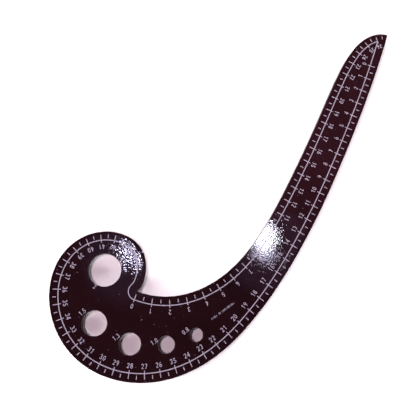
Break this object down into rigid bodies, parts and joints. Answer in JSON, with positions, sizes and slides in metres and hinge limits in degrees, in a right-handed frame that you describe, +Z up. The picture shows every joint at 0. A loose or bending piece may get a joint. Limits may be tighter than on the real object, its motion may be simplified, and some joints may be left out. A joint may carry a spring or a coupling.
{
  "type": "french curve",
  "caption": "Flat glossy plastic French curve with a long blade, a curled scroll, round drawing holes and centimetre scales printed along both cutting edges.",
  "frame": {"origin": "centre of the template's bounding rectangle, on its underside", "axes": "+X along the blade towards its tip, +Y towards the side where the scroll curls over, +Z up out of the printed face"},
  "size_m": [0.3, 0.1126, 0.0031],
  "materials": {
    "plate": "glossy dark maroon sheet with a fine orange-peel surface",
    "ink": "pale lavender-white screen print"
  },
  "bodies": {
    "root": {"template_plate": "plate", "outer_scale": "ink", "inner_scale": "ink", "horn_line": "ink"}
  },
  "joints": []
}
